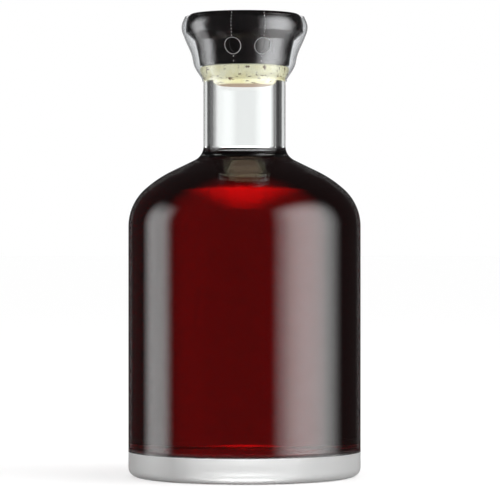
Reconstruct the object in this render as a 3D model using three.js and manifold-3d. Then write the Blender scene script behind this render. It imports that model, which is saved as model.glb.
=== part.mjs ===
import * as THREE from 'three';
import { mergeVertices } from 'three/addons/utils/BufferGeometryUtils.js';
import Module from 'manifold-3d';

// A 50 cl liqueur bottle: heavy round glass with a wide shoulder, a cork stopper with a broad dark
// head, and a loose clear film sleeve shrunk over the stopper. Millimetres, +Z up. The bottle's axis
// is the Z axis, it stands on Z = 0, and -Y is the front, where the tear strip of the film is.

// Glass bottle
const bodyRadius = 43.6;
const wallThickness = 3.4;
const baseThickness = 9.3;
const heelRadius = 3.5;
const bearingRingWidth = 6;
const pushUpHeight = 2.4;
const floorFillet = 5;
const shoulderStart = 93.8;
const shoulderRadius = 18.8;
const shoulderSweep = THREE.MathUtils.degToRad(48);
const shoulderTopRadius = 42.7;
const shoulderSlope = THREE.MathUtils.degToRad(25.9);
const neckRadius = 15.4;
const neckLength = 24.3;
const boreRadius = 12;
const neckFillet = 6;
const boreFillet = 8;
const lipRadius = 16.8;
const lipHeight = 5.5;
const lipFlareShare = 1 / 3;
const lipEdgeRadius = 1;
const mouthChamfer = 0.8;

// Liqueur, filled up to the foot of the neck
const surfaceBelowNeck = 4;
const liquidClearance = 0.25;

// Stopper: a natural cork shank glued into the socket of a dark moulded head
const corkClearance = 0.15;
const corkInNeck = 7.3;
const corkInHead = 7;
const corkChamfer = 0.8;
const glueGap = 0.15;
const headSeatGap = 0.2;
const skirtHeight = 9.4;
const skirtTopRadius = 18.7;
const skirtHollow = 0.45;
const bevelHeight = 3.1;
const rimHeight = 2.1;
const rimRadius = 22.1;
const crownHeight = 4.9;
const crownFlatRadius = 19.5;

// Clear film sleeve: open at the top, drawn in against the neck at the bottom
const filmThickness = 0.2;
const filmRimGap = 1.3;
const filmMouthGap = 0.15;
const filmMouthDrop = 1.1;
const filmSkirtGap = 2.1;
const filmLipGap = 1.8;
const filmNeckGap = 0.3;
const filmTailLength = 0.8;
const tearHoleDiameter = 6;
const tearHoleHeight = 6.3;
const tearStripTurn = THREE.MathUtils.degToRad(3.4);
const tearLineSpacing = THREE.MathUtils.degToRad(31);

// Fineness of the facets
const turnSegments = 48;
const arcSegments = 5;
const edgeSegments = 3;
const filmSegments = 12;
const holeSegments = 20;

const quarterTurn = Math.PI / 2;
const baseRadius = bodyRadius - heelRadius;
const cavityRadius = bodyRadius - wallThickness;
const corkRadius = boreRadius - corkClearance;

/** Points of an arc in the half section (x = radius, y = height), both ends included. */
function arc(centreX, centreY, radiusX, radiusY, startAngle, endAngle, segments = arcSegments) {
  const points = [];
  for (let i = 0; i <= segments; i += 1) {
    const angle = startAngle + ((endAngle - startAngle) * i) / segments;
    points.push(new THREE.Vector2(centreX + radiusX * Math.cos(angle), centreY + radiusY * Math.sin(angle)));
  }
  return points;
}

/** Half section of the shoulder up to the neck, moved in from the outer skin by `inset`. */
function shoulderOutline(inset, throatRadius, fillet) {
  const coneAngle = quarterTurn - shoulderSlope;
  const lowX = bodyRadius - shoulderRadius;
  const highX = lowX + (shoulderRadius - shoulderTopRadius) * Math.cos(shoulderSweep);
  const highY = shoulderStart + (shoulderRadius - shoulderTopRadius) * Math.sin(shoulderSweep);
  const lowRadius = shoulderRadius - inset;
  const highRadius = shoulderTopRadius - inset;
  const filletX = throatRadius + fillet;
  const alongNormal = highRadius + fillet - (filletX - highX) * Math.cos(coneAngle);
  const filletY = highY + alongNormal / Math.sin(coneAngle);
  return [
    ...arc(lowX, shoulderStart, lowRadius, lowRadius, 0, shoulderSweep),
    ...arc(highX, highY, highRadius, highRadius, shoulderSweep, coneAngle).slice(1),
    ...arc(filletX, filletY, fillet, fillet, Math.PI + coneAngle, Math.PI),
  ];
}

const outerShoulder = shoulderOutline(0, neckRadius, neckFillet);
const neckStart = outerShoulder.at(-1).y;
const lipStart = neckStart + neckLength;
const mouthHeight = lipStart + lipHeight;
const surfaceHeight = neckStart - surfaceBelowNeck;

/** Half section of the space inside the glass, from the middle of its floor up into the bore. */
function cavityOutline(clearance) {
  const inset = wallThickness + clearance;
  const corner = floorFillet - clearance;
  const floor = baseThickness + clearance;
  return [
    new THREE.Vector2(0, floor),
    ...arc(bodyRadius - inset - corner, floor + corner, corner, corner, -quarterTurn, 0),
    ...shoulderOutline(inset, boreRadius - clearance, boreFillet + clearance),
  ];
}

/** The part of an outline below a height, ending exactly on that height. */
function cutAtHeight(points, height) {
  const next = points.findIndex((point) => point.y >= height);
  if (next < 0) {
    return [...points, new THREE.Vector2(points.at(-1).x, height)];
  }
  const share = (height - points[next - 1].y) / (points[next].y - points[next - 1].y);
  return [...points.slice(0, next), points[next - 1].clone().lerp(points[next], share)];
}

/** Turns a half section about the Z axis. */
function turn(points) {
  return new THREE.LatheGeometry(points, turnSegments).rotateX(quarterTurn);
}

/** A named mesh with its own finish. */
function part(name, geometry, finish) {
  const mesh = new THREE.Mesh(geometry, new THREE.MeshStandardMaterial(finish));
  mesh.name = name;
  return mesh;
}

function bottleGlass() {
  const pushUpRadius = baseRadius - bearingRingWidth;
  const pushUp = arc(0, 0, pushUpRadius, pushUpHeight, quarterTurn, 0);
  const heel = arc(baseRadius, heelRadius, heelRadius, heelRadius, -quarterTurn, 0);
  const bend = lipStart + lipHeight * lipFlareShare;
  const flare = new THREE.CubicBezierCurve(
    new THREE.Vector2(neckRadius, lipStart),
    new THREE.Vector2(neckRadius, bend),
    new THREE.Vector2(lipRadius, bend),
    new THREE.Vector2(lipRadius, mouthHeight - lipEdgeRadius),
  ).getPoints(arcSegments);
  const lipEdge = arc(lipRadius - lipEdgeRadius, mouthHeight - lipEdgeRadius,
    lipEdgeRadius, lipEdgeRadius, 0, quarterTurn, edgeSegments);
  const mouth = [
    new THREE.Vector2(boreRadius + mouthChamfer, mouthHeight),
    new THREE.Vector2(boreRadius, mouthHeight - mouthChamfer),
  ];
  const outside = [...pushUp, ...heel, ...outerShoulder, ...flare, ...lipEdge.slice(1)];
  const inside = cavityOutline(0).reverse();
  return turn([...outside, ...mouth, ...inside]);
}

function liqueur() {
  const outline = cutAtHeight(cavityOutline(liquidClearance), surfaceHeight);
  return turn([...outline, new THREE.Vector2(0, surfaceHeight)]);
}

function corkShank() {
  const bottom = mouthHeight - corkInNeck;
  const top = mouthHeight + headSeatGap + corkInHead;
  return turn([
    new THREE.Vector2(0, bottom),
    new THREE.Vector2(corkRadius - corkChamfer, bottom),
    new THREE.Vector2(corkRadius, bottom + corkChamfer),
    new THREE.Vector2(corkRadius, top - corkChamfer),
    new THREE.Vector2(corkRadius - corkChamfer, top),
    new THREE.Vector2(0, top),
  ]);
}

const skirtFoot = mouthHeight + headSeatGap;
const skirtTop = skirtFoot + skirtHeight;
const rimFoot = skirtTop + bevelHeight;
const crownFoot = rimFoot + rimHeight;
const headTop = crownFoot + crownHeight;

function stopperHead() {
  const socketRadius = corkRadius + glueGap;
  const socketTop = skirtFoot + corkInHead + glueGap;
  const skirt = new THREE.QuadraticBezierCurve(
    new THREE.Vector2(lipRadius, skirtFoot),
    new THREE.Vector2((lipRadius + skirtTopRadius) / 2 - skirtHollow, skirtFoot + skirtHeight / 2),
    new THREE.Vector2(skirtTopRadius, skirtTop),
  ).getPoints(arcSegments);
  const crown = arc(crownFlatRadius, crownFoot, rimRadius - crownFlatRadius, crownHeight, 0, quarterTurn);
  return turn([
    new THREE.Vector2(0, socketTop),
    new THREE.Vector2(socketRadius, socketTop),
    new THREE.Vector2(socketRadius, skirtFoot),
    ...skirt,
    new THREE.Vector2(rimRadius, rimFoot),
    ...crown,
    new THREE.Vector2(0, headTop),
  ]);
}

/** Inner outline of the film, upwards from its lower end at the neck to its open top. */
function filmOutline() {
  const middleRadius = (lipRadius + skirtTopRadius) / 2;
  const knots = [
    new THREE.Vector2(neckRadius + filmNeckGap, lipStart + filmTailLength),
    new THREE.Vector2(lipRadius + filmLipGap, mouthHeight),
    new THREE.Vector2(middleRadius + filmSkirtGap, skirtFoot + skirtHeight / 2),
    new THREE.Vector2(rimRadius + filmRimGap, rimFoot + rimHeight / 2),
    new THREE.Vector2(rimRadius + filmMouthGap, headTop - filmMouthDrop),
  ];
  const tail = new THREE.Vector2(neckRadius + filmNeckGap, lipStart);
  return [tail, ...new THREE.SplineCurve(knots).getPoints(filmSegments)];
}

/** Vertices and triangles of a closed geometry as a solid for boolean cuts. */
function toSolid(wasm, geometry) {
  geometry.deleteAttribute('normal');
  geometry.deleteAttribute('uv');
  const welded = mergeVertices(geometry);
  return new wasm.Manifold(new wasm.Mesh({
    numProp: 3,
    vertProperties: new Float32Array(welded.attributes.position.array),
    triVerts: new Uint32Array(welded.index.array),
  }));
}

/** A solid's surface as a geometry. */
function toGeometry(solid) {
  const mesh = solid.getMesh();
  const geometry = new THREE.BufferGeometry();
  geometry.setAttribute('position', new THREE.BufferAttribute(mesh.vertProperties, 3));
  geometry.setIndex(new THREE.BufferAttribute(mesh.triVerts, 1));
  geometry.computeVertexNormals();
  return geometry;
}

/** A radial pin at one of the two tear lines: -1 left, 1 right of the strip. */
function tearHoleCutter(side) {
  const reach = rimRadius + filmRimGap + filmThickness;
  const angle = tearStripTurn + (side * tearLineSpacing) / 2;
  const radius = tearHoleDiameter / 2;
  return new THREE.CylinderGeometry(radius, radius, reach, holeSegments)
    .translate(0, -reach / 2 - boreRadius, 0)
    .rotateZ(angle)
    .translate(0, 0, skirtFoot + tearHoleHeight);
}

function shrinkSeal(wasm) {
  const inside = filmOutline();
  const outside = inside.map((point) => new THREE.Vector2(point.x + filmThickness, point.y));
  const outline = [...outside, ...inside.reverse(), outside[0].clone()];
  let sleeve = toSolid(wasm, turn(outline));
  for (const side of [-1, 1]) {
    sleeve = sleeve.subtract(toSolid(wasm, tearHoleCutter(side)));
  }
  return toGeometry(sleeve);
}

const wasm = await Module();
wasm.setup();

const bottle = new THREE.Group();
bottle.add(
  part('bottle_glass', bottleGlass(), { color: 0xe6ebea, roughness: 0.05, metalness: 0 }),
  part('liqueur', liqueur(), { color: 0x4b0810, roughness: 0.1, metalness: 0 }),
  part('cork_shank', corkShank(), { color: 0xd8cf98, roughness: 0.85, metalness: 0 }),
  part('stopper_head', stopperHead(), { color: 0x1e1213, roughness: 0.3, metalness: 0 }),
  part('shrink_seal', shrinkSeal(wasm), { color: 0xdfe3e5, roughness: 0.15, metalness: 0 }),
);

export default bottle;
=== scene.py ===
"""The finished look of a 50 cl liqueur bottle: heavy clear glass, dark red liqueur, a cork stopper
with a dark lacquered head, and a loose clear film sleeve with two perforated tear lines.

All sizes are real sizes. MM turns millimetres into the metres of the scene. The bottle stands on
Z = 0 with its axis on Z, and its front faces -Y.
"""
import logging
import math
from dataclasses import dataclass, field
from enum import Enum
from typing import Iterable, Sequence

import bmesh
import bpy
from bpy.types import ID, Material, Mesh, Modifier, Node, NodeSocket, NodeTree, Object
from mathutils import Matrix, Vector


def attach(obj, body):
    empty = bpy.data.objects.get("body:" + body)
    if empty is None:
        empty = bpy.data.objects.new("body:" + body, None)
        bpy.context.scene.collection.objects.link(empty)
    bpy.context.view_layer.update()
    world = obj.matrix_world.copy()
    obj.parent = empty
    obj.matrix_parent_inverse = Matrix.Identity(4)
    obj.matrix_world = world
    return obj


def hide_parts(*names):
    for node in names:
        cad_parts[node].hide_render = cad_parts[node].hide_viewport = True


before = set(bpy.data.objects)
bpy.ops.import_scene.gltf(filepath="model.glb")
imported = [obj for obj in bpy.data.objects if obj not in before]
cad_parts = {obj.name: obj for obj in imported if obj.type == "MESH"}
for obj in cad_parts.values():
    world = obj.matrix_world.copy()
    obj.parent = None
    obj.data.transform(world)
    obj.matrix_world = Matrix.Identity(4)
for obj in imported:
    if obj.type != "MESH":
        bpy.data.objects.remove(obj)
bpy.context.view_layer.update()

LOG = logging.getLogger("liqueur_bottle")
MM = 0.001
HALF_TURN = math.pi
QUARTER_TURN = math.pi / 2
Point = tuple[float, float]
Colour = tuple[float, float, float, float]


class Body(Enum):
    """The bodies that the pieces ride on."""

    BOTTLE = "bottle"
    STOPPER = "stopper"


class Slot(Enum):
    """The record's material slots."""

    GLASS = "clear_glass"
    LIQUEUR = "red_liqueur"
    CORK = "natural_cork"
    LACQUER = "dark_lacquer"
    FILM = "clear_film"


# Outlines: points of a half section, radius first and height second

def arc(centre: Point, radii: Point, start: float, end: float, steps: int = 24) -> list[Point]:
    """Points along an arc of a half section.

    Args:
        centre: Radius and height of the arc's centre.
        radii: Its two half axes, sideways and upwards.
        start: Angle of the first point, in radians.
        end: Angle of the last point.
        steps: Number of equal steps.

    Returns:
        The points, both ends included.
    """
    angles = [start + (end - start) * i / steps for i in range(steps + 1)]
    return [(centre[0] + radii[0] * math.cos(a), centre[1] + radii[1] * math.sin(a)) for a in angles]


def with_support(points: Sequence[Point], step: float = 2 * MM) -> list[Point]:
    """Splits the long straight stretches of an outline so that smooth shading stays true on them.

    Args:
        points: The outline.
        step: Longest distance between two points of the result.

    Returns:
        The same outline with more points on it.
    """
    result = [points[0]]
    for (r0, z0), (r1, z1) in zip(points, points[1:]):
        count = max(1, math.ceil(math.hypot(r1 - r0, z1 - z0) / step))
        result += [(r0 + (r1 - r0) * i / count, z0 + (z1 - z0) * i / count) for i in range(1, count + 1)]
    return result


def bezier(points: Sequence[Point], steps: int = 24) -> list[Point]:
    """A quadratic or cubic Bezier curve through the first and the last control point."""
    result = []
    for i in range(steps + 1):
        t = i / steps
        row = list(points)
        while len(row) > 1:
            row = [(a[0] + (b[0] - a[0]) * t, a[1] + (b[1] - a[1]) * t) for a, b in zip(row, row[1:])]
        result.append(row[0])
    return result


def spline(knots: Sequence[Point], steps: int = 14) -> list[Point]:
    """A smooth curve through all knots, upwards from the first one.

    Args:
        knots: Points that the curve passes through.
        steps: Number of steps between two knots.

    Returns:
        The points of the curve, all knots included.
    """
    ends = [knots[0], *knots, knots[-1]]
    result = [knots[0]]
    for a, b, c, d in zip(ends, ends[1:], ends[2:], ends[3:]):
        for i in range(1, steps + 1):
            t = i / steps
            result.append(tuple(
                b[k] + t * (c[k] - a[k]) / 2
                + t * t * (2 * a[k] - 5 * b[k] + 4 * c[k] - d[k]) / 2
                + t ** 3 * (3 * b[k] - a[k] - 3 * c[k] + d[k]) / 2
                for k in (0, 1)))
    return result


def split_at_height(points: Sequence[Point], height: float) -> tuple[list[Point], list[Point]]:
    """Splits a rising outline at a height.

    Args:
        points: The outline, upwards.
        height: Where it is split.

    Returns:
        The part below, which ends on that height, and the points above it.
    """
    above = next(i for i, point in enumerate(points) if point[1] >= height)
    (r0, z0), (r1, z1) = points[above - 1], points[above]
    return [*points[:above], (r0 + (r1 - r0) * (height - z0) / (z1 - z0), height)], list(points[above:])


@dataclass(frozen=True)
class BottleShape:
    """Sizes of the glass, with the outlines and the heights that follow from them."""

    body_radius: float = 43.6 * MM
    wall: float = 3.4 * MM
    base: float = 9.3 * MM
    heel_radius: float = 3.5 * MM
    ring_width: float = 6 * MM
    push_up: float = 2.4 * MM
    floor_fillet: float = 1.5 * MM
    shoulder_start: float = 93.8 * MM
    shoulder_radius: float = 18.8 * MM
    shoulder_sweep: float = math.radians(48)
    shoulder_top_radius: float = 42.7 * MM
    shoulder_slope: float = math.radians(25.9)
    neck_radius: float = 15.4 * MM
    neck_length: float = 24.3 * MM
    bore_radius: float = 12 * MM
    neck_fillet: float = 6 * MM
    bore_fillet: float = 3 * MM
    lip_radius: float = 16.8 * MM
    lip_height: float = 5.5 * MM
    lip_edge: float = 1 * MM
    mouth_edge: float = 0.8 * MM
    surface_below_neck: float = 4 * MM
    cork_in_neck: float = 7.3 * MM

    @property
    def neck_start(self) -> float:
        """Height where the straight neck begins."""
        return self.shoulder(0, self.neck_radius, self.neck_fillet)[-1][1]

    @property
    def lip_start(self) -> float:
        """Height where the lip begins to flare."""
        return self.neck_start + self.neck_length

    @property
    def mouth(self) -> float:
        """Height of the lip's top face."""
        return self.lip_start + self.lip_height

    @property
    def cork_end(self) -> float:
        """Height of the cork's lower end."""
        return self.mouth - self.cork_in_neck

    @property
    def surface(self) -> float:
        """Height of the liqueur's surface."""
        return self.neck_start - self.surface_below_neck

    def shoulder(self, inset: float, throat: float, fillet: float) -> list[Point]:
        """Outline of the shoulder up to the neck.

        Args:
            inset: How far the outline lies inside the outer skin.
            throat: Radius that the outline reaches at its top.
            fillet: Radius of the hollow curve into that throat.

        Returns:
            Its points, upwards.
        """
        cone = QUARTER_TURN - self.shoulder_slope
        low = (self.body_radius - self.shoulder_radius, self.shoulder_start)
        gap = self.shoulder_radius - self.shoulder_top_radius
        high = (low[0] + gap * math.cos(self.shoulder_sweep), low[1] + gap * math.sin(self.shoulder_sweep))
        low_radius = self.shoulder_radius - inset
        high_radius = self.shoulder_top_radius - inset
        centre = throat + fillet
        along = high_radius + fillet - (centre - high[0]) * math.cos(cone)
        height = high[1] + along / math.sin(cone)
        return [
            *arc(low, (low_radius, low_radius), 0, self.shoulder_sweep),
            *arc(high, (high_radius, high_radius), self.shoulder_sweep, cone)[1:],
            *arc((centre, height), (fillet, fillet), HALF_TURN + cone, HALF_TURN),
        ]

    def cavity(self, outward: float = 0) -> list[Point]:
        """Outline of the space inside, from the middle of the floor up to the foot of the neck.

        Args:
            outward: How far the outline is moved into the glass.

        Returns:
            Its points, upwards.
        """
        inset = self.wall - outward
        corner = self.floor_fillet + outward
        floor = self.base - outward
        return [
            (0, floor),
            *arc((self.body_radius - inset - corner, floor + corner), (corner, corner), -QUARTER_TURN, 0),
            *self.shoulder(inset, self.bore_radius + outward, self.bore_fillet - outward),
            (self.bore_radius + outward, self.neck_start),
        ]


SHAPE = BottleShape()


# Objects, and nodes of every kind

def add_object(name: str, data: ID) -> Object:
    """Makes an object at the origin and links it to the scene."""
    thing = bpy.data.objects.new(name, data)
    bpy.context.scene.collection.objects.link(thing)
    return thing


def add_sheet(name: str, corners: Sequence[Sequence[float]],
              finish: Material) -> Object:
    """Makes a flat sheet of the studio from its four corners."""
    mesh = bpy.data.meshes.new(name)
    mesh.from_pydata([tuple(corner) for corner in corners], [], [(0, 1, 2, 3)])
    mesh.materials.append(finish)
    return add_object(name, mesh)


def keep_result(thing: Object, modifier: Modifier) -> None:
    """Makes what a modifier shows the object's plain mesh, and removes the modifier."""
    graph = bpy.context.evaluated_depsgraph_get()
    made = bpy.data.meshes.new_from_object(thing.evaluated_get(graph))
    thing.modifiers.remove(modifier)
    thing.data = made


@dataclass
class NodeGraph:
    """Nodes under construction, with short ways to add, link and read them."""

    tree: NodeTree = field(init=False)

    def add(self, kind: str, links: dict[str | int, object] | None = None,
            **settings: object) -> Node:
        """Adds a node.

        Args:
            kind: The node's type.
            links: For each of its inputs, the socket or the plain value that goes into it.
            **settings: The node's own properties.

        Returns:
            The node.
        """
        node = self.tree.nodes.new(kind)
        for key, value in settings.items():
            setattr(node, key, value)
        for key, source in (links or {}).items():
            if isinstance(source, NodeSocket):
                self.tree.links.new(source, node.inputs[key])
            else:
                node.inputs[key].default_value = source
        return node

    def maths(self, operation: str, *values: object, clamped: bool = False) -> NodeSocket:
        """Adds a Math node on sockets or numbers and returns its result."""
        return self.add("ShaderNodeMath", dict(enumerate(values)), operation=operation,
                        use_clamp=clamped).outputs[0]


# Geometry Nodes

@dataclass
class GeometryTree(NodeGraph):
    """A Geometry Nodes tree under construction."""

    name: str
    inputs: Node = field(init=False)

    def __post_init__(self) -> None:
        """Makes the empty tree. A path and a finish go in, and a geometry comes out."""
        self.tree = bpy.data.node_groups.new(self.name, "GeometryNodeTree")
        self.tree.interface.new_socket(name="Geometry", in_out="OUTPUT", socket_type="NodeSocketGeometry")
        self.inputs = self.tree.nodes.new("NodeGroupInput")
        self.add_input("Path", "Geometry")
        self.add_input("Finish", "Material")

    def add_input(self, name: str, kind: str, value: object = None) -> None:
        """Adds a named input.

        Args:
            name: Its name, as the modifier shows it.
            kind: Its kind: Geometry, Material, Float, Int or Vector.
            value: Its value where a piece gives none.
        """
        socket = self.tree.interface.new_socket(
            name=name, in_out="INPUT", socket_type=f"NodeSocket{kind}")
        if value is not None:
            socket.default_value = value

    def finish(self, geometry: NodeSocket) -> NodeTree:
        """Ends the tree with real, smooth geometry in the piece's finish.

        Args:
            geometry: What the tree has made.

        Returns:
            The finished tree.
        """
        real = self.add("GeometryNodeRealizeInstances", {"Geometry": geometry})
        smooth = self.add("GeometryNodeSetShadeSmooth", {"Geometry": real.outputs[0]})
        dressed = self.add("GeometryNodeSetMaterial", {
            "Geometry": smooth.outputs[0], "Material": self.inputs.outputs["Finish"]})
        self.add("NodeGroupOutput", {0: dressed.outputs[0]})
        return self.tree


def turning_tree() -> NodeTree:
    """A tree that turns a half section about the Z axis into a closed surface.

    Returns:
        The tree. Its path is a chain of points in the XZ plane.
    """
    made = GeometryTree("turned_shape")
    made.add_input("Segments", "Int", 192)
    made.add_input("Weld Distance", "Float", 0.002 * MM)
    read = made.inputs.outputs
    path = read["Path"]
    count = made.add("GeometryNodeAttributeDomainSize", {0: path}, component="MESH").outputs["Point Count"]
    columns = made.maths("ADD", read["Segments"], 1.0)
    grid = made.add("GeometryNodeMeshGrid", {
        "Size X": 1.0, "Size Y": 1.0, "Vertices X": columns, "Vertices Y": count})
    place = made.add("GeometryNodeInputPosition").outputs[0]
    here = made.add("ShaderNodeSeparateXYZ", {0: place})
    angle = made.maths("MULTIPLY", made.maths("ADD", here.outputs["X"], 0.5), 2 * HALF_TURN)
    last = made.maths("SUBTRACT", count, 1.0)
    row = made.maths("ROUND", made.maths("MULTIPLY", made.maths("ADD", here.outputs["Y"], 0.5), last))
    sample = made.add("GeometryNodeSampleIndex", {"Geometry": path, "Value": place, "Index": row},
                      data_type="FLOAT_VECTOR", domain="POINT")
    section = made.add("ShaderNodeSeparateXYZ", {0: sample.outputs[0]})
    turned = made.add("ShaderNodeCombineXYZ", {
        "X": made.maths("MULTIPLY", section.outputs["X"], made.maths("COSINE", angle)),
        "Y": made.maths("MULTIPLY", section.outputs["X"], made.maths("SINE", angle)),
        "Z": section.outputs["Z"]})
    moved = made.add("GeometryNodeSetPosition", {
        "Geometry": grid.outputs["Mesh"], "Position": turned.outputs[0]})
    welded = made.add("GeometryNodeMergeByDistance", {
        "Geometry": moved.outputs[0], "Distance": read["Weld Distance"]})
    return made.finish(welded.outputs[0])


def wrinkle_tree() -> NodeTree:
    """A tree that gives a thin sleeve soft upright wrinkles, the same on its inside and outside.

    Returns:
        The tree. It reads its noise on a cylinder of the reading radius, so that both faces match.
    """
    made = GeometryTree("film_wrinkles")
    made.add_input("Wrinkle Height", "Float", 0.2 * MM)
    made.add_input("Wrinkle Scale", "Float", 120.0)
    made.add_input("Reading Radius", "Float", 22 * MM)
    made.add_input("Flattening", "Float", 0.35)
    made.add_input("Foot", "Float")
    made.add_input("Fade", "Float", 6 * MM)
    made.add_input("Seed", "Float", 3.0)
    read = made.inputs.outputs
    place = made.add("GeometryNodeInputPosition").outputs[0]
    here = made.add("ShaderNodeSeparateXYZ", {0: place})
    outwards = made.add("ShaderNodeVectorMath", {
        0: made.add("ShaderNodeCombineXYZ", {"X": here.outputs["X"], "Y": here.outputs["Y"]}).outputs[0],
    }, operation="NORMALIZE").outputs[0]
    turned = made.add("ShaderNodeSeparateXYZ", {0: outwards})
    around = made.add("ShaderNodeCombineXYZ", {
        "X": made.maths("MULTIPLY", turned.outputs["X"], read["Reading Radius"]),
        "Y": made.maths("MULTIPLY", turned.outputs["Y"], read["Reading Radius"]),
        "Z": made.maths("MULTIPLY", here.outputs["Z"], read["Flattening"])}).outputs[0]
    noise = made.add("ShaderNodeTexNoise", {
        "Vector": around, "W": read["Seed"], "Scale": read["Wrinkle Scale"], "Detail": 2.0,
        "Roughness": 0.45}, noise_dimensions="4D").outputs[0]
    swing = made.maths("MULTIPLY", made.maths("SUBTRACT", noise, 0.5), read["Wrinkle Height"])
    rise = made.maths("DIVIDE", made.maths("SUBTRACT", here.outputs["Z"], read["Foot"]), read["Fade"])
    held = made.maths("MINIMUM", made.maths("MAXIMUM", rise, 0.0), 1.0)
    offset = made.add("ShaderNodeVectorMath", {
        0: outwards, "Scale": made.maths("MULTIPLY", swing, held)}, operation="SCALE").outputs[0]
    moved = made.add("GeometryNodeSetPosition", {"Geometry": read["Path"], "Offset": offset})
    return made.finish(moved.outputs[0])


def bead_row_tree() -> NodeTree:
    """A tree that sets small flattened beads at an even pitch along paths.

    Returns:
        The tree. A bead's sizes are its half axes outwards, sideways and upwards.
    """
    made = GeometryTree("bead_row")
    made.add_input("Pitch", "Float", 1 * MM)
    made.add_input("Bead Size", "Vector", (0.1 * MM, 0.2 * MM, 0.3 * MM))
    made.add_input("Least Size", "Float", 0.7)
    made.add_input("Seed", "Int", 5)
    read = made.inputs.outputs
    curve = made.add("GeometryNodeMeshToCurve", {"Mesh": read["Path"]}).outputs[0]
    spaced = made.add("GeometryNodeResampleCurve", {"Curve": curve, "Length": read["Pitch"]},
                      mode="LENGTH")
    bead = made.add("GeometryNodeMeshIcoSphere", {"Radius": 1.0, "Subdivisions": 2}).outputs["Mesh"]
    place = made.add("ShaderNodeSeparateXYZ", {0: made.add("GeometryNodeInputPosition").outputs[0]})
    turn = made.maths("ARCTAN2", place.outputs["Y"], place.outputs["X"])
    facing = made.add("FunctionNodeAxisAngleToRotation", {"Axis": (0, 0, 1), "Angle": turn}).outputs[0]
    size = made.add("FunctionNodeRandomValue", {2: read["Least Size"], 3: 1.0, "Seed": read["Seed"]},
                    data_type="FLOAT")
    scale = made.add("ShaderNodeVectorMath", {0: read["Bead Size"], "Scale": size.outputs[1]},
                     operation="SCALE")
    beads = made.add("GeometryNodeInstanceOnPoints", {
        "Points": spaced.outputs[0], "Instance": bead, "Rotation": facing, "Scale": scale.outputs[0]})
    return made.finish(beads.outputs[0])


def rim_tree() -> NodeTree:
    """A tree that lays a thin round bead along closed paths, as the thick edge of a punched hole.

    Returns:
        The tree.
    """
    made = GeometryTree("edge_bead")
    made.add_input("Bead Radius", "Float", 0.12 * MM)
    made.add_input("Bead Sides", "Int", 8)
    read = made.inputs.outputs
    curve = made.add("GeometryNodeMeshToCurve", {"Mesh": read["Path"]}).outputs[0]
    ring = made.add("GeometryNodeCurvePrimitiveCircle", {
        "Radius": read["Bead Radius"], "Resolution": read["Bead Sides"]})
    swept = made.add("GeometryNodeCurveToMesh", {"Curve": curve, "Profile Curve": ring.outputs[0]})
    return made.finish(swept.outputs[0])


def path_object(name: str, chains: Iterable[Sequence[Vector]], closed: bool = False) -> Object:
    """An object whose mesh is only chains of edges, for a tree to work on.

    Args:
        name: The object's name.
        chains: For each chain, its points.
        closed: Whether each chain's last point joins its first.

    Returns:
        The object, linked to the scene.
    """
    points, edges = [], []
    for chain in chains:
        first = len(points)
        points += [tuple(point) for point in chain]
        edges += [(i, i + 1) for i in range(first, len(points) - 1)]
        if closed:
            edges.append((len(points) - 1, first))
    mesh = bpy.data.meshes.new(name)
    mesh.from_pydata(points, edges, [])
    return add_object(name, mesh)


def apply_tree(thing: Object, tree: NodeTree, finish: Material,
               **values: object) -> Object:
    """Runs a tree on an object and keeps the result as its plain mesh.

    Args:
        thing: The object, whose mesh goes into the tree.
        tree: The Geometry Nodes tree.
        finish: Material of the result.
        **values: Values of the tree's inputs, named in small letters with underscores.

    Returns:
        The same object with its new mesh and no modifier.
    """
    modifier = thing.modifiers.new(tree.name, "NODES")
    modifier.node_group = tree
    given = {"finish": finish, **values}
    for item in tree.interface.items_tree:
        key = item.name.lower().replace(" ", "_")
        if item.item_type == "SOCKET" and item.in_out == "INPUT" and key in given:
            modifier[item.identifier] = given[key]
    keep_result(thing, modifier)
    thing.data.materials.clear()
    thing.data.materials.append(finish)
    face_outwards(thing.data)
    return thing


def face_outwards(mesh: Mesh) -> None:
    """Turns a closed mesh's faces over if they point inwards."""
    shell = bmesh.new()
    shell.from_mesh(mesh)
    if shell.calc_volume(signed=True) < 0:
        bmesh.ops.reverse_faces(shell, faces=shell.faces)
    shell.to_mesh(mesh)
    shell.free()


# Finishes

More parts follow.
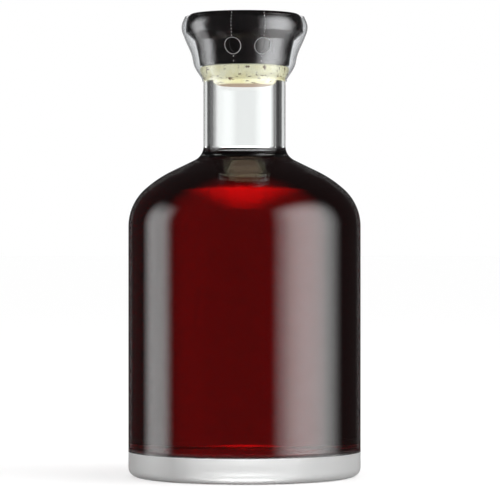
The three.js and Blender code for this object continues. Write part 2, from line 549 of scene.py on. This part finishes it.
@dataclass
class Shader(NodeGraph):
    """A material's nodes under construction."""

    name: str
    material: Material = field(init=False)
    surface: Node = field(init=False)

    def __post_init__(self) -> None:
        """Makes the material with its Principled shader."""
        self.material = bpy.data.materials.new(self.name)
        self.material.use_nodes = True
        self.tree = self.material.node_tree
        self.surface = self.tree.nodes["Principled BSDF"]

    def set(self, **values: object) -> None:
        """Sets the shader's own sockets, named in small letters with underscores."""
        sockets = {socket.name.lower().replace(" ", "_"): socket for socket in self.surface.inputs}
        for key, value in values.items():
            sockets[key].default_value = value

    def place(self, stretch: tuple[float, float, float] = (1, 1, 1)) -> NodeSocket:
        """Object coordinates, stretched by a factor along each axis."""
        point = self.add("ShaderNodeTexCoord").outputs["Object"]
        return self.add("ShaderNodeMapping", {"Vector": point, "Scale": stretch}).outputs[0]

    def noise(self, place: NodeSocket, scale: float, detail: float = 3,
              roughness: float = 0.5) -> NodeSocket:
        """A noise texture's factor."""
        return self.add("ShaderNodeTexNoise", {
            "Vector": place, "Scale": scale, "Detail": detail, "Roughness": roughness}).outputs[0]

    def ramp(self, factor: NodeSocket,
             stops: Sequence[tuple[float, Colour]]) -> NodeSocket:
        """A colour ramp over a factor.

        Args:
            factor: What drives the ramp.
            stops: Position and colour of each stop, in rising order.

        Returns:
            The ramp's colour.
        """
        node = self.add("ShaderNodeValToRGB", {"Fac": factor})
        for index, (position, colour) in enumerate(stops):
            stop = node.color_ramp.elements[index] if index < 2 else node.color_ramp.elements.new(position)
            stop.position = position
            stop.color = colour
        return node.outputs["Color"]

    def span(self, factor: NodeSocket, low: float, high: float) -> NodeSocket:
        """Maps a factor from 0 to 1 onto a range."""
        return self.add("ShaderNodeMapRange", {"Value": factor, "To Min": low, "To Max": high}).outputs[0]

    def mix(self, factor: NodeSocket, low: object, high: object) -> NodeSocket:
        """Mixes two colours, each a socket or a plain colour."""
        node = self.add("ShaderNodeMix", {"Factor": factor, 6: low, 7: high}, data_type="RGBA")
        return node.outputs[2]

    def drive(self, socket: str, source: NodeSocket) -> None:
        """Links a pattern to one of the shader's sockets."""
        self.tree.links.new(source, self.surface.inputs[socket])

    def relief(self, height: NodeSocket, strength: float, distance: float) -> None:
        """Gives the surface a fine relief from a pattern of heights."""
        bump = self.add("ShaderNodeBump", {"Height": height, "Strength": strength, "Distance": distance})
        self.drive("Normal", bump.outputs[0])


@dataclass(frozen=True)
class ClearGlass:
    """Fire-polished clear glass with the faint waviness of a blown wall.

    Where the liqueur wets the glass, hardly any light is thrown back, so that wall has a form of
    its own without a mirror. The stippled heel has one that is rough and less clear.
    """

    name: str = "clear_glass"
    mirror: float = 0.5
    roughness: float = 0.0
    clarity: float = 1.0
    tint: Colour = (0.97, 0.985, 0.98, 1)
    index: float = 1.5
    wave_scale: float = 35.0
    wave_strength: float = 0.15
    wave_height: float = 0.03 * MM

    def build(self) -> Material:
        """Makes the material."""
        made = Shader(self.name)
        made.set(base_color=self.tint, roughness=self.roughness, ior=self.index,
                 transmission_weight=self.clarity, specular_ior_level=self.mirror)
        waves = made.noise(made.place(), self.wave_scale, detail=1)
        made.relief(waves, self.wave_strength, self.wave_height)
        return made.material


@dataclass(frozen=True)
class RedLiqueur:
    """A clear liquid that lets a deep red through."""

    index: float = 1.36
    mirror: float = 0.06
    density: float = 120.0
    hue: Colour = (0.755, 0.02, 0.06, 1)

    def build(self) -> Material:
        """Makes the material, with its colour in the depth of the liquid."""
        made = Shader("red_liqueur")
        made.set(base_color=(1, 1, 1, 1), roughness=0.0, ior=self.index, transmission_weight=1.0,
                 specular_ior_level=self.mirror)
        depth = made.add("ShaderNodeVolumeAbsorption", {"Color": self.hue, "Density": self.density})
        made.tree.links.new(depth.outputs[0], made.tree.nodes["Material Output"].inputs["Volume"])
        return made.material


@dataclass(frozen=True)
class NaturalCork:
    """Pale cork with brown pores and short dark streaks, stained by the liqueur on its end face."""

    pale: Colour = (0.95, 0.92, 0.69, 1)
    warm: Colour = (0.88, 0.82, 0.48, 1)
    pore: Colour = (0.13, 0.07, 0.025, 1)
    stain: Colour = (0.5, 0.36, 0.25, 1)
    stained: tuple[float, float] = (0.1 * MM, 0.5 * MM)
    cloud_scale: float = 200.0
    pore_scale: float = 420.0

    def build(self) -> Material:
        """Makes the material."""
        made = Shader("natural_cork")
        place = made.place()
        clouds = made.noise(place, self.cloud_scale, detail=4, roughness=0.6)
        body = made.ramp(clouds, [(0.35, self.warm), (0.6, self.pale)])
        streaks = made.noise(made.place(stretch=(1, 1, 2.2)), self.pore_scale, detail=4, roughness=0.65)
        pores = made.ramp(streaks, [(0.36, (1, 1, 1, 1)), (0.43, (0, 0, 0, 1))])
        height = made.add("ShaderNodeSeparateXYZ", {0: place}).outputs["Z"]
        start, end = (SHAPE.cork_end + rise for rise in self.stained)
        clean = made.add("ShaderNodeMapRange", {"Value": height, "From Min": start, "From Max": end})
        corky = made.mix(pores, body, self.pore)
        made.drive("Base Color", made.mix(clean.outputs[0], self.stain, corky))
        made.set(roughness=0.8)
        made.relief(streaks, strength=0.5, distance=0.3 * MM)
        return made.material


@dataclass(frozen=True)
class DarkLacquer:
    """Near-black brown lacquer with a satin gloss and a trace of burgundy."""

    dark: Colour = (0.003, 0.0015, 0.0015, 1)
    brown: Colour = (0.009, 0.0035, 0.0035, 1)
    gloss: tuple[float, float] = (0.14, 0.22)
    mirror: float = 1.0
    index: float = 1.7

    def build(self) -> Material:
        """Makes the material."""
        made = Shader("dark_lacquer")
        clouds = made.noise(made.place(), scale=160.0, detail=4)
        made.drive("Base Color", made.ramp(clouds, [(0.35, self.dark), (0.7, self.brown)]))
        made.drive("Roughness", made.span(clouds, *self.gloss))
        made.set(ior=self.index, specular_ior_level=self.mirror)
        grain = made.noise(made.place(), scale=900.0, detail=2)
        made.relief(grain, strength=0.12, distance=0.02 * MM)
        return made.material


@dataclass(frozen=True)
class ClearFilm:
    """Thin clear shrink film, glossy, with small creases. Where it is punched it has turned whitish."""

    name: str = "clear_film"
    clarity: float = 1.0
    roughness: float = 0.02
    tint: Colour = (0.96, 0.97, 0.98, 1)
    index: float = 1.45
    mirror: float = 0.04

    def build(self) -> Material:
        """Makes the material."""
        made = Shader(self.name)
        made.set(base_color=self.tint, roughness=self.roughness, ior=self.index,
                 transmission_weight=self.clarity, specular_ior_level=self.mirror)
        creases = made.noise(made.place(stretch=(1, 1, 0.5)), scale=260.0, detail=4, roughness=0.6)
        made.relief(creases, strength=0.2, distance=0.12 * MM)
        return made.material


@dataclass(frozen=True)
class Palette:
    """The finishes of all pieces."""

    glass: Material
    wetted_glass: Material
    heel_glass: Material
    liqueur: Material
    cork: Material
    lacquer: Material
    film: Material
    film_edge: Material

    @classmethod
    def mixed(cls) -> "Palette":
        """Makes every finish once."""
        return cls(ClearGlass().build(), ClearGlass("wetted_glass", mirror=0.0).build(),
                   ClearGlass("heel_glass", roughness=0.3, clarity=0.65).build(), RedLiqueur().build(),
                   NaturalCork().build(), DarkLacquer().build(), ClearFilm().build(),
                   ClearFilm("film_edge", clarity=0.8, roughness=0.3).build())


# Sub-assemblies

@dataclass(frozen=True)
class Workshop:
    """The trees and finishes that the sub-assemblies are made with."""

    palette: Palette
    turning: NodeTree
    wrinkles: NodeTree
    bead_rows: NodeTree
    rims: NodeTree

    def turn(self, name: str, outline: Sequence[Point], finish: Material) -> Object:
        """Turns a half section into a piece.

        Args:
            name: The piece's name.
            outline: Its half section.
            finish: Its material.

        Returns:
            The piece as a plain mesh.
        """
        section = path_object(name, [[Vector((r, 0, z)) for r, z in with_support(outline)]])
        return apply_tree(section, self.turning, finish)


def settle(piece: Object, body: Body, slot: Slot, *nodes: str) -> None:
    """Says what a finished piece moves with and which nodes it stands for."""
    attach(piece, body.value)
    if nodes:
        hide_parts(*nodes)
    LOG.info("%s: %d faces on %s", piece.name, len(piece.data.polygons), body.value)


@dataclass
class GlassBottle:
    """The blown bottle and the fine stipples around its heel."""

    shop: Workshop
    stipple_radius: float = 41 * MM
    stipple_pitch: float = 2.4 * MM
    stipple_size: float = 0.4 * MM
    stipple_steps: int = 180
    floor_margin: float = 0.1 * MM

    def outline(self) -> list[Point]:
        """Half section of the glass, from the push-up round the outside and back down the bore."""
        s = SHAPE
        base_radius = s.body_radius - s.heel_radius
        bend = s.lip_start + s.lip_height / 3
        flare = bezier([
            (s.neck_radius, s.lip_start),
            (s.neck_radius, bend),
            (s.lip_radius, bend),
            (s.lip_radius, s.mouth - s.lip_edge)])
        lip = arc((s.lip_radius - s.lip_edge, s.mouth - s.lip_edge), (s.lip_edge, s.lip_edge),
                  0, QUARTER_TURN, steps=10)
        mouth = arc((s.bore_radius + s.mouth_edge, s.mouth - s.mouth_edge), (s.mouth_edge, s.mouth_edge),
                    QUARTER_TURN, HALF_TURN, steps=8)
        return [
            *arc((0, 0), (base_radius - s.ring_width, s.push_up), QUARTER_TURN, 0),
            *arc((base_radius, s.heel_radius), (s.heel_radius, s.heel_radius), -QUARTER_TURN, 0),
            *s.shoulder(0, s.neck_radius, s.neck_fillet),
            *flare,
            *lip[1:],
            *mouth,
            *reversed([point for part in split_at_height(s.cavity(), s.surface) for point in part]),
        ]

    def share_finishes(self, glass: Object) -> None:
        """Gives the wetted inner wall and the stippled heel their own forms of the glass."""
        wetted, heel = 1, 2
        glass.data.materials.append(self.shop.palette.wetted_glass)
        glass.data.materials.append(self.shop.palette.heel_glass)
        for face in glass.data.polygons:
            outwards = face.normal.xy.dot(face.center.xy) > 0
            if outwards and face.center.z < SHAPE.base:
                face.material_index = heel
            elif not outwards and SHAPE.base - self.floor_margin < face.center.z < SHAPE.surface:
                face.material_index = wetted

    def build(self) -> None:
        """Makes the bottle and its stipples."""
        glass = self.shop.turn("clear_bottle", self.outline(), self.shop.palette.glass)
        self.share_finishes(glass)
        settle(glass, Body.BOTTLE, Slot.GLASS, "bottle_glass")
        size = self.stipple_size
        turns = [2 * HALF_TURN * i / self.stipple_steps for i in range(self.stipple_steps)]
        ring = [Vector((self.stipple_radius * math.cos(turn), self.stipple_radius * math.sin(turn), size))
                for turn in turns]
        stipples = apply_tree(path_object("base_stipples", [ring], closed=True), self.shop.bead_rows,
                              self.shop.palette.glass, pitch=self.stipple_pitch,
                              bead_size=(size, 2 * size, size), least_size=0.8)
        settle(stipples, Body.BOTTLE, Slot.GLASS)


@dataclass
class LiqueurFill:
    """The liqueur, which wets the glass all round and climbs it a little at its surface."""

    shop: Workshop
    wetting: float = 0.12 * MM
    meniscus: float = 1.2 * MM

    def build(self) -> None:
        """Makes the liquid's body."""
        surface = SHAPE.surface
        wall, _ = split_at_height(with_support(SHAPE.cavity(self.wetting)), surface + self.meniscus)
        edge = wall[-1][0]
        curve = arc((edge - self.meniscus, surface + self.meniscus), (self.meniscus, self.meniscus),
                    0, -QUARTER_TURN, steps=12)
        fill = self.shop.turn("red_liqueur", [*wall, *curve[1:], (0, surface)], self.shop.palette.liqueur)
        settle(fill, Body.BOTTLE, Slot.LIQUEUR, "liqueur")


@dataclass
class Stopper:
    """The cork shank and the lacquered head that is glued onto it."""

    shop: Workshop
    seat_gap: float = 0.2 * MM
    cork_in_head: float = 7 * MM
    cork_round: Point = (3.4 * MM, 2.4 * MM)
    squeeze: float = 0.06 * MM
    glue_gap: float = 0.15 * MM
    skirt_height: float = 9.4 * MM
    skirt_top: float = 18.7 * MM
    skirt_hollow: float = 0.45 * MM
    bevel_height: float = 3.1 * MM
    rim_height: float = 2.1 * MM
    rim_radius: float = 22.1 * MM
    rim_edge: float = 0.7 * MM
    crown_height: float = 4.9 * MM
    crown_flat: float = 19.5 * MM
    sharp_angle: float = math.radians(25)

    @property
    def foot(self) -> float:
        """Height of the skirt's lower end."""
        return SHAPE.mouth + self.seat_gap

    @property
    def rim_foot(self) -> float:
        """Height where the rim's bevel ends."""
        return self.foot + self.skirt_height + self.bevel_height

    @property
    def top(self) -> float:
        """Height of the head's flat top."""
        return self.rim_foot + self.rim_height + self.crown_height

    def cork(self) -> Object:
        """The shank, pressed against the bore so that it shows through the glass over its full width."""
        radius = SHAPE.bore_radius + self.squeeze
        low = SHAPE.cork_end
        high = self.foot + self.cork_in_head
        side, rise = self.cork_round
        outline = [
            (0, low),
            *arc((radius - side, low + rise), (side, rise), -QUARTER_TURN, 0, steps=12),
            (radius, SHAPE.mouth),
            (radius - self.glue_gap, self.foot),
            (radius - self.glue_gap, high),
            (0, high),
        ]
        return self.shop.turn("cork_plug", outline, self.shop.palette.cork)

    def head(self) -> Object:
        """The head: a hollow-sided skirt, a bevel, and a broad rounded rim with a flat top."""
        socket = SHAPE.bore_radius + self.squeeze
        socket_top = self.foot + self.cork_in_head + self.glue_gap
        skirt_end = self.foot + self.skirt_height
        middle = ((SHAPE.lip_radius + self.skirt_top) / 2 - self.skirt_hollow,
                  self.foot + self.skirt_height / 2)
        skirt = bezier([(SHAPE.lip_radius, self.foot), middle, (self.skirt_top, skirt_end)])
        bevel = math.atan2(self.bevel_height, self.rim_radius - self.skirt_top)
        edge = self.rim_edge
        run = edge * math.tan((QUARTER_TURN - bevel) / 2)
        corner = arc((self.rim_radius - edge, self.rim_foot + run), (edge, edge),
                     bevel - QUARTER_TURN, 0, steps=8)
        crown_foot = self.rim_foot + self.rim_height
        crown = arc((self.crown_flat, crown_foot), (self.rim_radius - self.crown_flat, self.crown_height),
                    0, QUARTER_TURN)
        outline = [(0, socket_top), (socket, socket_top), (socket, self.foot), *skirt, *corner, *crown,
                   (0, self.top)]
        return self.shop.turn("lacquered_head", outline, self.shop.palette.lacquer)

    def build(self) -> None:
        """Makes both pieces."""
        settle(self.cork(), Body.STOPPER, Slot.CORK, "cork_shank")
        head = self.head()
        head.data.set_sharp_from_angle(angle=self.sharp_angle)
        settle(head, Body.STOPPER, Slot.LACQUER, "stopper_head")


@dataclass
class FilmSeal:
    """The clear film sleeve with its two punched tear holes and two perforated lines."""

    shop: Workshop
    stopper: Stopper
    thickness: float = 0.2 * MM
    rim_gap: float = 1.3 * MM
    mouth_gap: float = 0.15 * MM
    mouth_drop: float = 1.1 * MM
    skirt_gap: float = 2.1 * MM
    lip_gap: float = 1.8 * MM
    neck_gap: float = 0.3 * MM
    tail: float = 0.8 * MM
    hole_radius: float = 3 * MM
    hole_height: float = 6.3 * MM
    hole_sides: int = 48
    punch_depth: float = 8 * MM
    strip_turn: float = math.radians(3.4)
    line_spacing: float = math.radians(31)
    line_foot: float = 1 * MM
    line_clearance: float = 1.25
    line_steps: int = 12
    row_step: float = 0.6 * MM
    sharp_angle: float = math.radians(50)
    bead_radius: float = 0.1 * MM
    dot_pitch: float = 1.15 * MM
    dot_size: tuple[float, float, float] = (0.08 * MM, 0.18 * MM, 0.26 * MM)

    def inside(self) -> list[Point]:
        """Inner outline of the sleeve, upwards from the neck."""
        s, head = SHAPE, self.stopper
        middle = (s.lip_radius + head.skirt_top) / 2
        knots = [
            (s.neck_radius + self.neck_gap, s.lip_start + self.tail),
            (s.lip_radius + self.lip_gap, s.mouth),
            (middle + self.skirt_gap, head.foot + head.skirt_height / 2),
            (head.rim_radius + self.rim_gap, head.rim_foot + head.rim_height / 2),
            (head.rim_radius + self.mouth_gap, head.top - self.mouth_drop),
        ]
        return [(s.neck_radius + self.neck_gap, s.lip_start), *spline(knots)]

    def surface(self, angle: float, height: float) -> Vector:
        """A point on the sleeve's outer face.

        Args:
            angle: How far it is turned from the front, to the right.
            height: Its height.

        Returns:
            The point.
        """
        outline = self.inside()
        (r0, z0), (r1, z1) = next(
            pair for pair in zip(outline, outline[1:]) if pair[1][1] >= height or pair[1] == outline[-1])
        radius = r0 + (r1 - r0) * (height - z0) / (z1 - z0) + self.thickness
        return Vector((radius * math.sin(angle), -radius * math.cos(angle), height))

    def hole_centre(self, side: int) -> tuple[float, float]:
        """Angle and height of a tear hole's centre: -1 is the left one, 1 the right one."""
        return self.strip_turn + side * self.line_spacing / 2, self.stopper.foot + self.hole_height

    def punch(self, sleeve: Object) -> None:
        """Cuts the two tear holes into the sleeve."""
        for side in (-1, 1):
            angle, height = self.hole_centre(side)
            cutter_mesh = bpy.data.meshes.new("hole_punch")
            pin = bmesh.new()
            bmesh.ops.create_cone(pin, cap_ends=True, segments=self.hole_sides, radius1=self.hole_radius,
                                  radius2=self.hole_radius, depth=self.punch_depth)
            pin.to_mesh(cutter_mesh)
            pin.free()
            outwards = Vector((math.sin(angle), -math.cos(angle), 0))
            cutter_mesh.transform(outwards.to_track_quat("Z", "Y").to_matrix().to_4x4())
            cutter = add_object("hole_punch", cutter_mesh)
            cutter.location = self.surface(angle, height)
            cut = sleeve.modifiers.new("punch", "BOOLEAN")
            cut.operation = "DIFFERENCE"
            cut.solver = "EXACT"
            cut.object = cutter
            keep_result(sleeve, cut)
            bpy.data.objects.remove(cutter)

    def rim_paths(self) -> list[list[Vector]]:
        """Closed rings around the two tear holes, on the sleeve's face."""
        rings = []
        for side in (-1, 1):
            angle, height = self.hole_centre(side)
            radius = self.surface(angle, height).xy.length
            ring = []
            for i in range(self.hole_sides):
                turn = 2 * HALF_TURN * i / self.hole_sides
                sideways = math.asin(self.hole_radius * math.cos(turn) / radius)
                ring.append(self.surface(angle + sideways, height + self.hole_radius * math.sin(turn)))
            rings.append(ring)
        return rings

    def dot_paths(self) -> list[list[Vector]]:
        """Upright stretches of the two tear lines, above and below each hole."""
        top = self.inside()[-1][1]
        low = SHAPE.mouth + self.line_foot
        clear = self.line_clearance * self.hole_radius
        steps = self.line_steps
        paths = []
        for side in (-1, 1):
            angle, height = self.hole_centre(side)
            for start, end in ((low, height - clear), (height + clear, top)):
                rises = [start + (end - start) * i / steps for i in range(steps + 1)]
                paths.append([self.surface(angle, rise) for rise in rises])
        return paths

    def build(self) -> None:
        """Makes the sleeve, the thick edges of its holes and its rows of perforations."""
        film = self.shop.palette.film
        inner = with_support(self.inside(), self.row_step)
        outer = [(r + self.thickness, z) for r, z in inner]
        sleeve = self.shop.turn("film_sleeve", [*outer, *reversed(inner), outer[0]], film)
        apply_tree(sleeve, self.shop.wrinkles, film, foot=SHAPE.mouth)
        self.punch(sleeve)
        sleeve.data.set_sharp_from_angle(angle=self.sharp_angle)
        settle(sleeve, Body.BOTTLE, Slot.FILM, "shrink_seal")
        edge = self.shop.palette.film_edge
        rings = path_object("tear_hole_rims", self.rim_paths(), closed=True)
        rims = apply_tree(rings, self.shop.rims, edge, bead_radius=self.bead_radius)
        settle(rims, Body.BOTTLE, Slot.FILM)
        dots = apply_tree(path_object("tear_perforations", self.dot_paths()), self.shop.bead_rows, edge,
                          pitch=self.dot_pitch, bead_size=self.dot_size)
        settle(dots, Body.BOTTLE, Slot.FILM)


# Studio

@dataclass(frozen=True)
class Card:
    """A glowing sheet in the studio, which the camera doesn't see.

    Its bearing is counted from the front, to the right. It stands facing the bottle, from low to
    high, or it lies flat between two distances. Its glow fades to its soft edges, and upwards or
    away from the bottle by the power of its fall. One that lights matt surfaces is dimmed where it
    would be seen straight through the glass.
    """

    name: str
    bearing: float
    distance: tuple[float, float]
    width: float
    height: tuple[float, float]
    glow: float
    soft_edges: tuple[float, float]
    fall: float = 0.0
    lights: bool = True
    dimmed: float = 0.15

    def thinned(self, made: Shader) -> NodeSocket:
        """One, or the dimmed level for light that has only passed through glass."""
        rays = made.add("ShaderNodeLightPath").outputs
        crossed = made.maths("MINIMUM", rays["Transmission Depth"], 1.0)
        thrown = made.maths("ADD", rays["Glossy Depth"], rays["Diffuse Depth"])
        return made.span(made.maths("SUBTRACT", crossed, thrown, clamped=True), 1.0, self.dimmed)

    def material(self) -> Material:
        """A clear sheet with a glow that fades towards its soft edges."""
        made = Shader(self.name)
        made.tree.nodes.remove(made.surface)
        place = made.add("ShaderNodeSeparateXYZ", {0: made.add("ShaderNodeTexCoord").outputs["UV"]})
        far = made.maths("SUBTRACT", 1.0, place.outputs["Y"])
        fades = [made.maths("POWER", far, self.fall)]
        if self.lights:
            fades.append(self.thinned(made))
        for axis, soft in zip("XY", self.soft_edges):
            edge = made.maths("PINGPONG", place.outputs[axis], 0.5)
            fades.append(made.add("ShaderNodeMapRange", {"Value": edge, "From Max": soft},
                                  interpolation_type="SMOOTHSTEP").outputs[0])
        strength = self.glow
        for fade in fades:
            strength = made.maths("MULTIPLY", fade, strength)
        light = made.add("ShaderNodeEmission", {"Strength": strength})
        clear = made.add("ShaderNodeBsdfTransparent")
        sheet = made.add("ShaderNodeAddShader", {0: light.outputs[0], 1: clear.outputs[0]})
        made.tree.links.new(sheet.outputs[0], made.tree.nodes["Material Output"].inputs["Surface"])
        return made.material

    def build(self) -> None:
        """Sets the card up."""
        out = Vector((math.sin(self.bearing), -math.cos(self.bearing), 0))
        side = Vector((math.cos(self.bearing), math.sin(self.bearing), 0)) * (self.width / 2)
        low, high = (out * way + Vector((0, 0, rise)) for way, rise in zip(self.distance, self.height))
        card = add_sheet(self.name, (low - side, low + side, high + side, high - side), self.material())
        places = card.data.uv_layers.new(name="card").data
        for loop, place in zip(places, ((0, 0), (1, 0), (1, 1), (0, 1))):
            loop.uv = place
        card.visible_camera = False
        card.visible_diffuse = self.lights
        card.visible_shadow = False


CARDS = (
    Card("left_softbox", bearing=math.radians(-97), distance=(0.9, 0.9), width=0.74,
         height=(-0.9, 0.85), glow=1.9, soft_edges=(0.35, 0.32)),
    Card("right_softbox", bearing=math.radians(69), distance=(0.9, 0.9), width=1.75,
         height=(-1.1, 1.2), glow=2.7, soft_edges=(0.45, 0.33)),
    Card("low_backlight", bearing=math.radians(180), distance=(1.18, 5.0), width=0.95,
         height=(-0.35, -0.35), glow=6.0, soft_edges=(0.5, 0.08), fall=0.9, lights=False),
)


@dataclass
class SkyTree(NodeGraph):
    """The nodes of the scene's world under construction."""

    name: str

    def __post_init__(self) -> None:
        """Makes the world with its Background shader."""
        world = bpy.data.worlds.new(self.name)
        bpy.context.scene.world = world
        world.use_nodes = True
        self.tree = world.node_tree

    def mix(self, factor: NodeSocket, low: object, high: object) -> NodeSocket:
        """Mixes two levels, each a socket or a number."""
        return self.add("ShaderNodeMix", {0: factor, 2: low, 3: high}).outputs[0]


@dataclass
class Studio:
    """The pale floor, the soft light and the camera."""

    floor_size: float = 80.0
    floor_paint: Colour = (0.8, 0.8, 0.8, 1)
    floor_glow: float = 0.24
    camera_distance: float = 1.09
    camera_height: float = 84.94 * MM
    camera_side: float = 2.06 * MM
    lens: float = 208.8
    sky_for_surfaces: float = 0.95
    sky_through_glass: float = 2.6
    dark_side: float = 0.03
    backdrop_edge: tuple[float, float] = (math.radians(27), math.radians(12))

    def floor(self) -> None:
        """A pale floor, which keeps the bottle's soft shadow. Its glow is for the camera alone."""
        half = self.floor_size / 2
        corners = ((-half, -half, 0), (half, -half, 0), (half, half, 0), (-half, half, 0))
        made = Shader("studio_floor")
        made.set(base_color=self.floor_paint, roughness=1.0, specular_ior_level=0.0,
                 emission_color=(1, 1, 1, 1))
        seen = made.add("ShaderNodeLightPath").outputs["Is Camera Ray"]
        made.drive("Emission Strength", made.span(seen, 0.0, self.floor_glow))
        floor = add_sheet("studio_floor", corners, made.material)
        floor.visible_glossy = False
        floor.visible_transmission = False

    def sky(self) -> None:
        """A round white patch behind the bottle and dark all round it, as in a studio with one lit wall.

        Light thrown back by a surface sees the dark side only. What is lit sees a plain fill from all
        sides, a stronger one where it lies behind glass, and the camera sees plain white.
        """
        made = SkyTree("studio")
        place = made.add("ShaderNodeTexCoord").outputs["Generated"]
        toward = made.add("ShaderNodeSeparateXYZ", {0: place})
        rays = made.add("ShaderNodeLightPath").outputs
        dark, lit = self.backdrop_edge
        through = made.add("ShaderNodeMapRange", {
            "Value": toward.outputs["Y"], "From Min": math.cos(dark), "From Max": math.cos(lit),
            "To Min": self.dark_side, "To Max": 1.0}, interpolation_type="SMOOTHSTEP").outputs[0]
        seen = made.mix(rays["Is Reflection Ray"], through, self.dark_side)
        bounced = made.maths("MINIMUM", rays["Diffuse Depth"], 1.0)
        glazed = made.maths("MINIMUM", rays["Transmission Depth"], 1.0)
        fill = made.mix(glazed, self.sky_for_surfaces, self.sky_through_glass)
        strength = made.mix(rays["Is Camera Ray"], made.mix(bounced, seen, fill), 1.0)
        background = made.tree.nodes["Background"]
        made.tree.links.new(strength, background.inputs["Strength"])
        background.inputs["Color"].default_value = (1, 1, 1, 1)

    def camera(self) -> None:
        """The camera of the photo: level with the bottle's mid-height, from about a metre away."""
        data = bpy.data.cameras.new("photo_view")
        data.lens = self.lens
        data.sensor_width = 36
        camera = add_object("photo_view", data)
        camera.location = (self.camera_side, -self.camera_distance, self.camera_height)
        camera.rotation_euler = (QUARTER_TURN, 0, 0)
        bpy.context.scene.camera = camera

    def build(self) -> None:
        """Sets up the whole studio."""
        self.floor()
        self.sky()
        self.camera()
        for card in CARDS:
            card.build()
        bpy.context.scene.view_settings.view_transform = "Standard"


def main() -> None:
    """Builds the bottle's pieces in order and then the studio around them."""
    logging.basicConfig(level=logging.INFO, format="%(name)s %(message)s")
    shop = Workshop(Palette.mixed(), turning_tree(), wrinkle_tree(), bead_row_tree(), rim_tree())
    stopper = Stopper(shop)
    GlassBottle(shop).build()
    LiqueurFill(shop).build()
    stopper.build()
    FilmSeal(shop, stopper).build()
    Studio().build()


if __name__ == "__main__":
    main()
